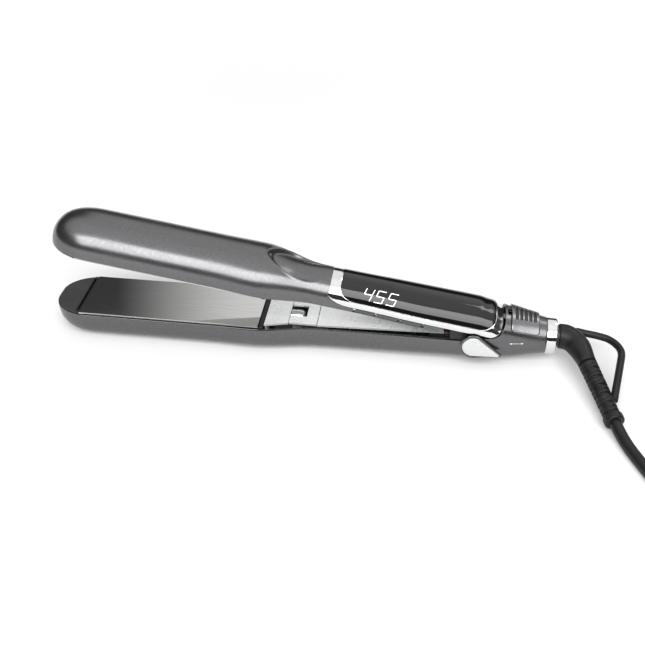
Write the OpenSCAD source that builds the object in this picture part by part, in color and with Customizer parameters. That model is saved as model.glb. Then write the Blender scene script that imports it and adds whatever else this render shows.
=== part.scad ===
// Hair flat iron: two sprung arms on a rear pivot, floating titanium plates, a swivel mains cord.
// Millimetres. X runs along the iron (tip at -X, cord at +X), Z is up, the lower arm lies on z = 0.
// The upper arm's pieces are drawn closed, then turned about the pivot by open_angle.

/* [Arms] */
// Length from the nose to the end ring
iron_length = 296; // [294:1:298]
// Half width of the arms beside the plates
arm_half_width = 20.4; // [20.2:0.1:20.8]
// Wall of the moulded shells
shell_wall = 1.8; // [1.5:0.1:1.8]
// Angle between the arms at rest
open_angle = 9.2; // [8:0.1:9.2]
// Height of the plane where the plates meet
contact_z = 18.5; // [18.4:0.05:18.6]

/* [Plates] */
// Length of each plate
plate_length = 107; // [100:1:107]
// Width of each plate
plate_width = 38.2; // [36:0.2:38.4]
// How far each plate can sink into its arm
plate_float = 0.4; // [0.2:0.05:0.4]

/* [Controls] */
// Travel of the lock slider
lock_travel = 2.6; // [2:0.1:2.6]
// Length of each push button
button_length = 11.8; // [9:0.2:12]

/* [Cord] */
// Diameter of the mains cord
cord_d = 6.5; // [6:0.1:6.5]
// Radius of the moulded sleeve where it leaves the end ring
relief_r = 7.2; // [6.4:0.1:7.2]

/* [Hidden] */
$fn = 64;

tip_x = -iron_length/2;
ring_end_x = iron_length/2;
ring_len = 6;
ring_start_x = ring_end_x - ring_len;
ring_r = 10.5;
swivel_z = 14.45;            // axis of the round rear end
pivot_x = 102.7;
pivot_z = 14.4;
pin_r = 2.5;
collar_x = 14.6;             // front of the chrome collar
lens_x = 20.6;               // front of the black panel
lens_end_x = 107;
shell_end_x = 81;            // rear end of the upper shell's side skirts
lower_end_x = 104;           // rear end of the lower shell
split = 0.15;                // half of the joint line between two shells
section_p = 2.3;             // roundness of the upper arm, 2 is an ellipse
nose_len = 27;
edge_phi = 81.5;             // lower edge of the chrome frame, degrees from the top
button_x = [31, 44.6, 58.2]; // front end of each button
carrier_x = tip_x + 16.5;
plate_x = tip_x + 18.3;
plate_end_x = plate_x + plate_length;

grey = "#6a6769";
dark = "#2b2b2d";
chrome = "#d8dadc";
silver = "#c9cccf";
black = "#141416";

// Smooth profiles

function lerp(a, b, t) = a + (b - a)*t;
function ease(t) = t*t*(3 - 2*t);
function spow(v, p) = sign(v)*pow(abs(v), p);
// value at x of a smooth curve through [x, value] knots
function prof(k, x, i = 0) =
    x <= k[0][0] ? k[0][1] :
    i >= len(k) - 1 ? k[len(k) - 1][1] :
    x <= k[i + 1][0] ? lerp(k[i][1], k[i + 1][1], ease((x - k[i][0])/(k[i + 1][0] - k[i][0]))) :
    prof(k, x, i + 1);
// 0 at the nose's point, 1 where the arm is full
function nose(x, x0, p) =
    x >= x0 + nose_len ? 1 : x <= x0 ? 0 : pow(1 - pow((x0 + nose_len - x)/nose_len, p), 1/p);

function rim_gap(x) = prof([[-30, 1.6], [16, 0.6]], x);
upper_width = [[-50, arm_half_width], [-27, arm_half_width + 0.8], [10, 14.6], [30, 14.6],
               [70, 15.8], [100, 15.9], [114, 15.2]];
upper_top = [[-26, 38], [8, 33.6], [60, 34.1], [100, 34.5], [107, 33.6], [116, 30.4]];
lower_width = [[-50, arm_half_width], [-27, arm_half_width + 1], [12, 16.8], [60, 16.6], [95, 16.8],
               [104, 16.5]];
lower_bottom = [[-20, 0], [40, 1.2], [80, 1.8], [104, 1.6], [120, 1.9], [142, 3.9]];
lower_square = [[60, 3.3], [104, 2.9], [142, 2]];

// A scoop for the thumb just in front of the collar: how much it lowers the surface
function scoop(x, y) =
    let (u = x < -4 ? (x + 4)/20 : (x + 4)/19, v = y/11.5, r = sqrt(u*u + v*v))
    r >= 1 ? 0 : 2.6*ease(min(1, (1 - r)/0.35))*prof([[-24, 1], [-10, 1], [13, 0]], x);

// Point on the upper arm, t inside its surface; phi is 0 at the top and 90 at the rim
function upper_pt(x, phi, t) =
    let (w = (prof(upper_width, x) - t)*nose(x, tip_x + t, 2.3),
         z0 = contact_z + rim_gap(x),
         h = (prof(upper_top, x) - z0 - t)*nose(x, tip_x + t, 2.6),
         y = w*spow(sin(phi), 2/section_p))
    [x, y, z0 + h*spow(cos(phi), 2/section_p) - scoop(x, y)];

// Point on the lower arm and rear barrel; phi is 180 at the bottom, 90 at the rim, 0 at the top
function lower_centre(x) = x <= lower_end_x ? contact_z - rim_gap(x) :
    prof([[lower_end_x, contact_z - rim_gap(lower_end_x)], [126, swivel_z]], x);
function barrel_top(x) = lerp(30.4, swivel_z + 10.6, (x - 115.6)/26.4);
function lower_half(x) = x <= lower_end_x ? prof(lower_width, x) :
    lerp(16.5, 10.6, (x - lower_end_x)/(ring_start_x - lower_end_x));
function lower_pt(x, phi, t) =
    let (p = prof(lower_square, x),
         z0 = lower_centre(x),
         land = t > 0 ? 0 : prof([[-40, 0.35], [-10, 0]], x),
         down = z0 - prof(lower_bottom, x) + land,
         rise = cos(phi) > 0 ? barrel_top(x) - z0 : down,
         w = (lower_half(x) - t)*nose(x, tip_x + t, 2.3),
         z = z0 + (rise - t)*nose(x, tip_x + t, 2.6)*spow(cos(phi), 2/p))
    // the underside is cut flat where the arm lies on a surface
    [x, w*spow(sin(phi), 2/p), max(z, prof(lower_bottom, x))];

// The joint line between the upper arm's heel and the rear barrel, seen from the side, arm open
function heel_line(z) = 107 + 10.5*sqrt(max(0, 1 - pow((31 - z)/11.8, 2)));
function barrel_front(phi) =
    let (z = lower_pt(112, phi, 0)[2])
    z > 18.4 ? heel_line(z) + 3*split : lower_end_x + split;
function heel_end(phi) =
    let (z = upper_pt(112, phi, 0)[2] - pivot_z,
         ca = cos(open_angle), sa = sin(open_angle),
         zo = z*ca - 9.3*sa,
         xo = heel_line(zo + pivot_z) - 2*split - pivot_x)
    pivot_x + xo*ca - zo*sa;
// Lower edge of the black panel, degrees from the top
function lens_phi(x) = prof([[lens_x, 34], [24, 56], [30, 69], [98, 69], [104, 60], [lens_end_x, 36]], x);

// Skins: a wall between an outer grid P and an inner grid Q, with the cells that M keeps

function cell(M, i, j, wrap) =
    let (nj = len(M[0]), jj = wrap ? (j + nj) % nj : j)
    i >= 0 && i < len(M) && jj >= 0 && jj < nj && M[i][jj];
module skin(P, Q, M, wrap = false, nose_cap = false) {
    nj = len(P[0]);
    n = len(P)*nj;
    function id(i, j) = i*nj + (wrap ? j % nj : j);
    cells = [for (i = [0:len(M) - 1]) for (j = [0:len(M[0]) - 1]) if (M[i][j]) [i, j]];
    walls = [for (c = cells)
        let (i = c[0], j = c[1], a = id(i, j), b = id(i + 1, j), e = id(i + 1, j + 1), d = id(i, j + 1))
        each concat(
            [[a, d, e], [a, e, b], [a + n, e + n, d + n], [a + n, b + n, e + n]],
            cell(M, i, j - 1, wrap) ? [] : [[a, b, b + n], [a, b + n, a + n]],
            cell(M, i, j + 1, wrap) ? [] : [[e, d, d + n], [e, d + n, e + n]],
            cell(M, i - 1, j, wrap) || (nose_cap && i == 0) ? [] : [[d, a, a + n], [d, a + n, d + n]],
            cell(M, i + 1, j, wrap) ? [] : [[b, e, e + n], [b, e + n, b + n]])];
    caps = nose_cap ? concat(
        [for (j = [1:nj - 2]) [0, j + 1, j]],
        [for (j = [1:nj - 2]) [n, n + j, n + j + 1]],
        [[nj - 1, 0, n], [nj - 1, n, n + nj - 1]]) : [];
    polyhedron(concat([for (r = P) each r], [for (r = Q) each r]), concat(walls, caps), convexity = 6);
}
// A curved tile that follows an arm's surface between depths t0 and t1
module upper_tile(xs, phis, t0, t1) {
    skin([for (x = xs) [for (f = phis) upper_pt(x, f, t0)]],
         [for (x = xs) [for (f = phis) upper_pt(x, f, t1)]],
         [for (i = [1:len(xs) - 1]) [for (j = [1:len(phis) - 1]) true]]);
}
module lower_tile(xs, phis, t0, t1) {
    skin([for (x = xs) [for (f = phis) lower_pt(x, f, t0)]],
         [for (x = xs) [for (f = phis) lower_pt(x, f, t1)]],
         [for (i = [1:len(xs) - 1]) [for (j = [1:len(phis) - 1]) true]]);
}
function span(a, b, n) = [for (i = [0:n]) lerp(a, b, i/n)];

// Tubes swept along hand-chosen points, one radius for each point

function unit(v) = v/norm(v);
function tube_ring(p, dir, r, sides) =
    let (s = unit(cross(dir, [0, 0, 1])), u = cross(s, dir))
    [for (k = [0:sides - 1]) p + r*(cos(360*k/sides)*s + sin(360*k/sides)*u)];
module tube(pts, radii, sides) {
    m = len(pts);
    rings = [for (i = [0:m - 1])
        tube_ring(pts[i], unit(pts[min(i + 1, m - 1)] - pts[max(i - 1, 0)]), radii[i], sides)];
    body = [for (i = [0:m - 2]) for (k = [0:sides - 1])
        let (a = i*sides + k, b = i*sides + (k + 1) % sides)
        each [[a, b, b + sides], [a, b + sides, a + sides]]];
    ends = [for (k = [1:sides - 2])
        each [[0, k + 1, k], [(m - 1)*sides, (m - 1)*sides + k, (m - 1)*sides + k + 1]]];
    polyhedron([for (r = rings) each r], concat(body, ends), convexity = 6);
}

module box(x0, x1, y0, y1, z0, z1) {
    translate([x0, y0, z0]) cube([x1 - x0, y1 - y0, z1 - z0]);
}
module both_sides() {
    children();
    mirror([0, 1, 0]) children();
}
// Cylinder along Y
module y_rod(x, z, r, y0, y1) {
    translate([x, y0, z]) rotate([-90, 0, 0]) cylinder(h = y1 - y0, r = r);
}
module opened() {
    translate([pivot_x, 0, pivot_z]) rotate([0, open_angle, 0]) translate([-pivot_x, 0, -pivot_z])
        children();
}
// The upper arm's inner parts mirror the lower arm's about the contact plane
module mirrored() {
    opened() translate([0, 0, 2*contact_z]) mirror([0, 0, 1]) children();
}

nose_x = [for (a = [84, 72, 60, 48, 36, 24, 12]) tip_x + nose_len*(1 - sin(a))];
nose_in = [for (i = [0:len(nose_x) - 1]) shell_wall*(1 - i/len(nose_x))];
front_x = concat(nose_x, [tip_x + nose_len, -95, -60, -42, -33, -24, -18, -12, -6, 0, 5, 10, collar_x - split]);
shift_in = concat(nose_in, [for (i = [len(nose_x):60]) 0]);

// Lower arm

module lower_shell() color(grey) {
    xs = concat(front_x, [24, 36, 48, 60, 72, 82, 90, 97, lower_end_x]);
    half = [90, 96, 103, 111, 120, 130, 141, 153, 165];
    phis = concat(half, [for (i = [8:-1:0]) 360 - half[i]]);
    skin([for (x = xs) [for (f = phis) lower_pt(x, f, 0)]],
         [for (i = [0:len(xs) - 1]) [for (f = phis) lower_pt(xs[i] + shift_in[i], f, shell_wall)]],
         [for (i = [1:len(xs) - 1]) [for (j = [1:len(phis) - 1]) true]], nose_cap = true);
}
// Cover that closes the nose ahead of the plates
module nose_cap_plate() {
    rim = contact_z - 1.6;
    translate([0, 0, rim + 0.02]) linear_extrude(height = 1.1) intersection() {
        box2(tip_x + 1.2, carrier_x - 0.1, arm_half_width - 0.6);
        polygon([for (a = [-90:10:90])
            let (x = tip_x + 0.8 + nose_len*(1 - cos(a)))
            [x, sign(a)*(arm_half_width - 0.6)*nose(x, tip_x + 0.6, 2.3)]]);
    }
}
module box2(x0, x1, w) {
    translate([x0, -w]) square([x1 - x0, 2*w]);
}
module lower_nose_cap() color(dark) nose_cap_plate();

tray_top = 14.1;
tray_floor = 8.5;
module carrier() {
    difference() {
        box(carrier_x + 0.1, plate_end_x + 0.4, -13.8, 13.8, 7.4, tray_top);
        box(plate_x + 1, plate_end_x - 1, -12.2, 12.2, tray_floor, tray_top + 1);
    }
    // end wall at the nose, wider above the shell's rim
    box(carrier_x, carrier_x + 1.5, -16.8, 16.8, tray_top, 17);
    box(carrier_x, carrier_x + 1.5, -18.6, 18.6, 17, 18.3);
}
module lower_carrier() color(black) carrier();

slab = 1;
module plate() {
    half = plate_width/2;
    box(plate_x, plate_end_x, -half, half, contact_z - 0.1 - slab, contact_z - 0.1);
    box(plate_x + 1, plate_end_x - 1, -half + 1.8, half - 1.8, tray_top + plate_float + 0.1,
        contact_z - 0.1 - slab);
}
module lower_plate() color("#8a8a90") plate();
module heater() {
    box(plate_x + 14, plate_end_x - 14, -5, 5, tray_top + plate_float + 0.1 - 2.2,
        tray_top + plate_float + 0.1);
    // two lead strips
    for (y = [-3, 3])
        box(plate_end_x - 14, plate_end_x - 8, y - 0.8, y + 0.8, tray_top + plate_float - 1.4,
            tray_top + plate_float - 0.9);
}
module lower_heater() color("white") heater();
module cushions() {
    for (x = [plate_x + 7, plate_end_x - 4.5])
        for (y = [-7.5, 7.5])
            translate([x, y, tray_floor]) cylinder(h = tray_top - tray_floor, r = 2.6);
}
module lower_cushions() color("#b04a2a") cushions();
module end_bar() {
    x0 = plate_end_x + 0.7;
    box(x0, x0 + 2.3, -19.4, 19.4, 17.1, 18.4);
    box(x0, x0 + 2.3, -15, 15, 8, 17.1);
}
module lower_end_bar() color(black) end_bar();

shield_z = 18.2;
shield_t = 1.1;
neck_x = -5.8;
mid_x = 10.8;
module heat_shield_front() color(silver) {
    x0 = plate_end_x + 3.3;
    translate([0, 0, shield_z - shield_t]) linear_extrude(height = shield_t)
        polygon([[x0, -16.4], [neck_x, -12.9], [neck_x, 12.9], [x0, 16.4]]);
    box(x0 + 0.2, x0 + 1.2, -14.5, 14.5, 9, shield_z - shield_t);
}
module heat_shield_middle() color(silver) difference() {
    box(neck_x + 0.3, mid_x, -12.5, 12.5, shield_z - shield_t, shield_z);
    box(neck_x - 1, 4.2, -5.4, 5.4, shield_z - shield_t - 1, shield_z + 1);
}
module stop_bumper() color("#e8e8e8") {
    // half-round rubber stop lying along the arm, on its own stem
    intersection() {
        union() {
            translate([neck_x + 0.4, 0, 14.2]) rotate([0, 90, 0]) cylinder(h = 5, r = 4);
            translate([neck_x + 5.4, 0, 14.2]) sphere(r = 4);
        }
        box(neck_x, mid_x, -5, 5, 14.2, 19);
    }
    box(neck_x + 1, neck_x + 6, -2.5, 2.5, 4, 14.2);
}
rear_shield_x = 11.2;
rear_shield_end = 84;
screw_x = [56, 78];
module heat_shield_rear() color(silver) difference() {
    translate([0, 0, shield_z - 0.2 - shield_t]) linear_extrude(height = shield_t)
        polygon([[rear_shield_x, -12.7], [rear_shield_end, -9.5], [rear_shield_end, 9.5],
                 [rear_shield_x, 12.7]]);
    for (x = screw_x)
        translate([x, 0, 10]) cylinder(h = 12, r = 1.4);
}
module shield_screws() color("#9a9a9a") for (x = screw_x) {
    translate([x, 0, shield_z - 0.2]) cylinder(h = 0.5, r = 2.4);
    translate([x, 0, 13.2]) cylinder(h = shield_z - 0.2 - 13.2, r = 1.3);
}
wing_in = 10.8;              // side plates of the hinge bracket
wing_out = 12;
module lower_bracket() color("#b8b8ba") {
    box(88, 107, -wing_out, wing_out, 7.9, 9.3);
    both_sides() difference() {
        union() {
            box(98, 107, wing_in, wing_out, 7.9, pivot_z);
            y_rod(pivot_x, pivot_z, 6, wing_in, wing_out);
        }
        y_rod(pivot_x, pivot_z, pin_r + 0.02, wing_in - 1, wing_out + 1);
    }
}
module hinge_pin() color("#cfcfd2") y_rod(pivot_x, pivot_z, pin_r, -wing_out - 0.6, wing_out + 0.6);
module pin_clips() color("#8c8c8e") both_sides() difference() {
    y_rod(pivot_x, pivot_z, 4, wing_out + 0.05, wing_out + 0.45);
    y_rod(pivot_x, pivot_z, pin_r, wing_out - 1, wing_out + 1);
    box(pivot_x, pivot_x + 6, wing_out - 1, wing_out + 1, pivot_z - 0.8, pivot_z + 0.8);
}
module torsion_spring() color("#9b9b9e") {
    coil_r = 4.3;
    wire = 0.55;
    for (k = [0:7])
        translate([pivot_x, -4.9 + 1.4*k, pivot_z]) rotate([90, 0, 0])
            rotate_extrude() translate([coil_r, 0]) circle(r = wire, $fn = 24);
    // legs that lie along the lower arm
    for (y = [-6.1, 6.1])
        translate([pivot_x - 15, y, pivot_z - coil_r]) rotate([0, 90, 0]) cylinder(h = 15, r = wire);
}

// Teardrop outline of the pivot cover in the side view
module teardrop(grow) {
    r = 6.2 + grow;
    hull() {
        translate([pivot_x - 1.8, pivot_z + 0.6]) circle(r = r, $fn = 40);
        translate([pivot_x + 12.5 + grow, pivot_z - 3.9]) circle(r = 0.7, $fn = 16);
    }
}
rim_y = 16.95;
module pivot_rims() color(grey) both_sides()
    translate([0, rim_y + 1, 0]) rotate([90, 0, 0]) linear_extrude(height = 1) teardrop(1.3);
module pivot_caps() color(silver) both_sides()
    translate([0, rim_y + 1.7, 0]) rotate([90, 0, 0]) linear_extrude(height = 0.7) teardrop(0);

slot_x = [119.4, 127];       // slot in the barrel for the lock's stem
slot_phi = 8;
module rear_barrel() {
    half = [slot_phi, 18, 30, 42, 52, 62, 72, 80, 88, 96, 106, 120, 135, 150, 165];
    phis = concat([for (i = [14:-1:0]) -half[i]], half, [180]);
    // columns run from the joint line to the end ring, with two of them at the slot
    function xs(f) = concat([barrel_front(f)], [max(barrel_front(f) + 0.6, slot_x[0])],
                            [slot_x[1], 131, 137, ring_start_x]);
    rows = 6;
    color(grey)
    skin([for (i = [0:rows - 1]) [for (f = phis) lower_pt(xs(f)[i], f, 0)]],
         [for (i = [0:rows - 1]) [for (f = phis) lower_pt(xs(f)[i], f, shell_wall)]],
         [for (i = [0:rows - 2]) [for (j = [0:len(phis) - 1]) !(i < 2 && phis[j] == -slot_phi)]],
         wrap = true);
}
module end_ring() color(chrome) difference() {
    translate([ring_start_x, 0, swivel_z]) rotate([0, 90, 0]) cylinder(h = ring_len, r = ring_r);
    translate([ring_start_x - 1, 0, swivel_z]) rotate([0, 90, 0]) cylinder(h = ring_len + 2, r = 7.8);
}
module swivel_socket() color(black) difference() {
    translate([137.5, 0, swivel_z]) rotate([0, 90, 0]) cylinder(h = 4.4, r = 8.6);
    translate([137, 0, swivel_z]) rotate([0, 90, 0]) cylinder(h = 6, r = 6.05);
}
module power_board() color("#2f6b3a") {
    box(16, 84, -10.5, 10.5, 7.4, 9);
    for (x = [22, 34, 46, 58])
        box(x, x + 7, -6, 6, 9, 12.5);
    translate([72, 0, 9]) cylinder(h = 4, r = 4);
}
module lead_wires() color("#c8281e") for (y = [-3.2, 3.2])
    translate([80, y, 6.3]) rotate([0, 90, 0]) cylinder(h = 46, r = 0.9);

pad_x = [121.4, 137.4];
tongue_z = 25.45;            // under the catch when the arms are closed
module lock_slider() color(grey) {
    lower_tile(span(pad_x[0], pad_x[1], 5), span(-60, 60, 12), -1.2, -0.55);
    for (k = [0:4])
        lower_tile([123.6 + 2.7*k, 124.9 + 2.7*k], span(-24, 24, 6), -1.45, -1.2);
    // stem down through the slot, whose front end is where its travel stops
    box(slot_x[0] + lock_travel + 0.3, 125, -1.3, 1.3, tongue_z + 0.4, 29.4);
}
module lock_tongue() color("#b8b8ba") box(115.35, 125, -2, 2, tongue_z, tongue_z + 0.4);

// Upper arm, drawn closed

skirt_x = [collar_x - split, 22, 30, 36, 44, 52, 60, 71, shell_end_x];
module upper_shell() color(grey) opened() {
    xs = concat(front_x, [for (i = [1:len(skirt_x) - 1]) skirt_x[i]]);
    half = [0, 12, 24, 35, 45, 54, 62, 69, 76, edge_phi + 0.6, 89.3, 90];
    phis = concat([for (i = [11:-1:1]) -half[i]], half);
    nf = len(front_x);
    last = len(phis) - 2;
    // the buttons' window leaves a thin strip under it
    window = [30, 71];
    skin([for (x = xs) [for (f = phis) upper_pt(x, f, 0)]],
         [for (i = [0:len(xs) - 1]) [for (f = phis) upper_pt(xs[i] + shift_in[i], f, shell_wall)]],
         [for (i = [0:len(xs) - 2]) [for (j = [0:last])
             i < nf - 1 || j == 0 || j >= last - 1 || (j == 1 && (xs[i] < window[0] || xs[i] >= window[1]))]],
         nose_cap = true);
}
module upper_nose_cap() color(dark) mirrored() nose_cap_plate();
module upper_carrier() color(black) mirrored() carrier();
module upper_plate() color("#8a8a90") mirrored() plate();
module upper_heater() color("white") mirrored() heater();
module upper_cushions() color("#b04a2a") mirrored() cushions();
module upper_end_bar() color(black) mirrored() end_bar();
module upper_cover() color(silver) opened()
    translate([0, 0, 2*contact_z - shield_z]) linear_extrude(height = shield_t)
        polygon([[plate_end_x + 3.3, -16.4], [neck_x, -12.9], [rear_shield_x, -12.2],
                 [rear_shield_end, -9.5], [rear_shield_end, 9.5], [rear_shield_x, 12.2],
                 [neck_x, 12.9], [plate_end_x + 3.3, 16.4]]);

frame_rows = [collar_x, lens_x, 24, 27, 31, 40, 55, 70, 85, 95, 101, 104.5, lens_end_x];
module bezel() {
    // columns: free edge, panel boundary, then the arch over the panel
    function phis(x) = let (b = lens_phi(x) + 0.4)
        concat([-edge_phi, -(edge_phi + b)/2], span(-b, b, 10), [(edge_phi + b)/2, edge_phi]);
    rows = concat(frame_rows, [200]);
    function at(i, f, t) = upper_pt(rows[i] > 150 ? heel_end(f) : rows[i], f, t);
    color(chrome) opened()
    skin([for (i = [0:len(rows) - 1]) [for (f = phis(min(rows[i], lens_end_x))) at(i, f, 0)]],
         [for (i = [0:len(rows) - 1]) [for (f = phis(min(rows[i], lens_end_x))) at(i, f, shell_wall)]],
         [for (i = [0:len(rows) - 2]) [for (j = [0:13])
             i == 0 || i == len(rows) - 2 || j < 2 || j > 11]]);
}
module display_lens() color(black) opened() {
    rows = concat([lens_x + 0.2, 24, 27, 31, 40, 55, 70, 85, 95, 101, 104.5], [lens_end_x - 0.2]);
    skin([for (x = rows) [for (f = span(-lens_phi(x), lens_phi(x), 14)) upper_pt(x, f, 0)]],
         [for (x = rows) [for (f = span(-lens_phi(x), lens_phi(x), 14)) upper_pt(x, f, 1.3)]],
         [for (i = [1:len(rows) - 1]) [for (j = [0:13]) true]]);
}
module display_module() color("#303030") opened() box(32, 62, -6.5, 6.5, 27, 30);

// Seven-segment numerals on the near slope of the panel; segments a to g as 0 and 1
digit_width = 5.2;
digit_phi = 43;              // middle of the numerals, degrees from the top towards -Y
digit_x = [34, 41.2, 48.4];
digit_on = [[0, 1, 1, 0, 0, 1, 1], [1, 0, 1, 1, 0, 1, 1], [1, 0, 1, 1, 0, 1, 1]];
module numeral(x0, on) {
    w = digit_width;
    ph = 17;                 // half the height in degrees round the panel
    s = 0.75;                // stroke in millimetres
    ds = 3;                  // stroke in degrees
    gap = 0.5;               // between the segments, in degrees
    mid = -digit_phi;
    low = mid - ph;
    high = mid + ph;
    upper = [mid + ds/2 + gap, high - ds - gap];
    lower = [low + ds + gap, mid - ds/2 - gap];
    seg = [[0, high - ds, w, high], [w - s, upper[0], w, upper[1]], [w - s, lower[0], w, lower[1]],
           [0, low, w, low + ds], [0, lower[0], s, lower[1]], [0, upper[0], s, upper[1]],
           [0, mid - ds/2, w, mid + ds/2]];
    for (k = [0:6]) if (on[k]) {
        b = seg[k];
        upper_tile([x0 + b[0], x0 + b[2]], span(b[1], b[3], b[3] - b[1] > 8 ? 3 : 1), -0.12, 0);
    }
}
module display_digits() color("white") opened() for (k = [0:2]) numeral(digit_x[k], digit_on[k]);
module control_board() color("#2f6b3a") opened() {
    box(26, 94, -9, 9, 24.2, 25.6);
    box(34, 60, -5, 5, 25.6, 27);
    for (x = [68, 78])
        box(x, x + 6, -4, 4, 25.6, 28);
}
module button_pad() color("#444448") opened() box(30, 71, -12.2, -11, 20, 23.6);
module handle_frame() color(dark) opened() {
    box(18, 94, -10.2, 10.2, 21, 22.4);
    for (y = [-10.2, 9])
        box(24, 92, y, y + 1.2, 22.4, 24.2);
}
module button(k) {
    x0 = button_x[k];
    upper_tile(span(x0, x0 + button_length, 3), [-88.9, -83.4], 0.05, 1.5);
    translate([x0 + button_length/2, -14.4, 20.7]) rotate([-90, 0, 0]) cylinder(h = 1.45, r = 0.8);
}
module power_button() color(dark) opened() button(0);
module temp_up_button() color(dark) opened() button(1);
module temp_down_button() color(dark) opened() button(2);
module ion_module() color("#3c4a58") opened() {
    box(-14, 4, -7, 7, 22, 27);
    translate([4, 0, 24.5]) rotate([0, 90, 0]) cylinder(h = 4, r = 1.2);
}
module lock_catch() color("#b8b8ba") opened() {
    box(110.7, 113.4, -4.6, 4.6, 26.55, 27.15);
    both_sides() box(107.6, 113.4, 3.6, 4.6, 27.15, 28.4);
}
fork_in = 9;                 // arms of the upper arm's fork, between the side plates
fork_out = 10.4;
module upper_bracket() color("#b8b8ba") opened() both_sides() difference() {
    union() {
        y_rod(pivot_x, pivot_z, 4.8, fork_in, fork_out);
        translate([0, fork_out, 0]) rotate([90, 0, 0]) linear_extrude(height = fork_out - fork_in)
            polygon([[94.4, 20.5], [94.4, 25.5], [106, 25.5], [pivot_x + 5, pivot_z], [pivot_x - 5, pivot_z - 1]]);
    }
    y_rod(pivot_x, pivot_z, 3.6, fork_in - 1, fork_out + 1);
}
module hinge_bushes() color("#b08d57") opened() both_sides() difference() {
    y_rod(pivot_x, pivot_z, 3.6, fork_in, fork_out);
    y_rod(pivot_x, pivot_z, pin_r + 0.05, fork_in - 1, fork_out + 1);
}

// Swivel and its sleeve

module swivel_journal() color(black) difference() {
    union() {
        translate([133.6, 0, swivel_z]) rotate([0, 90, 0]) cylinder(h = 15.9, r = 6);
        translate([133.6, 0, swivel_z]) rotate([0, 90, 0]) cylinder(h = 3, r = 7.4);
    }
    translate([132, 0, swivel_z]) rotate([0, 90, 0]) cylinder(h = 20, r = 3);
}
relief_path = [[149.5, 0, 14.45], [153, 0, 14.45], [156.4, -1.7, 14.1], [159.2, -4.8, 13.5],
               [161.3, -9, 13], [162.9, -14, 12.4], [164.5, -19.6, 11.7]];
relief_radii = [relief_r, relief_r, 7, 6.6, 6.1, 5.6, 5.2];
module strain_relief() color(black) tube(relief_path, relief_radii, 24);
tail_start = [164.5, -19.6, 11.7];
tail_end = [175.9, -60.5, 5.7];
tail_ribs = 6;
module relief_tail() color(black) {
    n = 3*tail_ribs;
    at = [for (i = [0:n]) 0.02 + 0.84*i/n];
    all_t = concat([0], at, [0.9, 0.905, 1]);
    radii = concat([5.1], [for (i = [0:n]) i % 3 == 0 ? 4.1 : lerp(4.9, 4.5, i/n)], [4.5, 5.3, 5.2]);
    tube([for (t = all_t) lerp(tail_start, tail_end, t)], radii, 16);
}
loop_path = [[159.5, 7.6, 13.6], [165, 6.4, 13.4], [172, 5, 13.2], [177.5, 3.2, 13], [181.5, -0.4, 12.8],
             [183.8, -5, 12.6], [184.2, -10, 12.3], [182.6, -18, 11.8], [180, -30, 10.6],
             [177.8, -40, 9.4], [176.4, -46.8, 8.4]];
module hang_loop() color(black) tube(loop_path, [for (p = loop_path) 2.1], 10);

// Mains cord on the surface, then a coil for storage, and the plug beside it

lead_route = [[175.93, -60.6, 5.69], [177.1, -64.8, 5.07], [179.3, -71, 4], [182, -77.5, 3.3],
              [185, -84.5, 3.3], [188.5, -92, 3.3], [194, -103, 3.3], [200, -115, 3.3],
              [206.3, -126.9, 3.7]];
coil_centre = [246, -104];
coil_inner = 26.2;
coil_outer = 45.8;
coil_z = [0, 26];
strap_t = 0.8;               // strap that holds the coil, sunk into its underside
strap_half = 6;
end_route = [[218.9, -138.7, 22.8], [228.6, -147.1, 22.4], [241.8, -152.6, 20.5], [256.2, -152.3, 17.5],
             [270, -147.5, 14], [282, -137.5, 10.2], [290, -125, 6.9], [294.5, -113, 4.4],
             [296, -103, 3.3], [295.6, -94, 4], [294.2, -85, 5.8], [292.61, -75.92, 6.6], [291.5, -68, 6.6]];
module cord_lead() color(black) tube(lead_route, [for (p = lead_route) cord_d/2], 10);
module cord_coil() color(black) translate([coil_centre[0], coil_centre[1], coil_z[0]]) difference() {
    rotate_extrude() translate([coil_inner, 0]) round_square(coil_outer - coil_inner,
                                                             coil_z[1] - coil_z[0], cord_d/2);
    // room for the strap under it
    box(-strap_half - 0.3, strap_half + 0.3, coil_inner - 2, coil_outer + 2, -1, strap_t + 0.05);
}
module round_square(w, h, r) {
    translate([r, 0]) square([w - 2*r, h]);
    translate([0, r]) square([w, h - 2*r]);
    for (x = [r, w - r])
        for (y = [r, h - r])
            translate([x, y]) circle(r = r);
}
module cord_end() color(black) tube(end_route, [for (p = end_route) cord_d/2], 10);
module cord_tie() color("#232323") {
    slack = 0.9;             // the strap is straight where the coil's inside is round
    y0 = coil_inner - slack;
    y1 = coil_outer + 0.1;
    z1 = coil_z[1] + strap_t + 0.1;
    translate([coil_centre[0], coil_centre[1], 0]) difference() {
        box(-strap_half, strap_half, y0 - strap_t, y1 + strap_t, 0, z1 + strap_t);
        box(-strap_half - 1, strap_half + 1, y0, y1, strap_t, z1);
    }
}
plug_at = [291.5, -68, 6.6];
module plug_body() color(black) {
    translate(plug_at) rotate([-90, 0, 8]) cylinder(h = 12, r1 = 4, r2 = 5.6);
    translate(plug_at) rotate([0, 0, 8]) translate([-11, 12, -6.6]) cube([22, 24, 13.2]);
}
module plug_blades() color("#c9b070") translate(plug_at) rotate([0, 0, 8])
    for (x = [-6.35, 6.35])
        translate([x - 0.75, 36, -3.15]) cube([1.5, 16, 6.3]);

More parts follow.
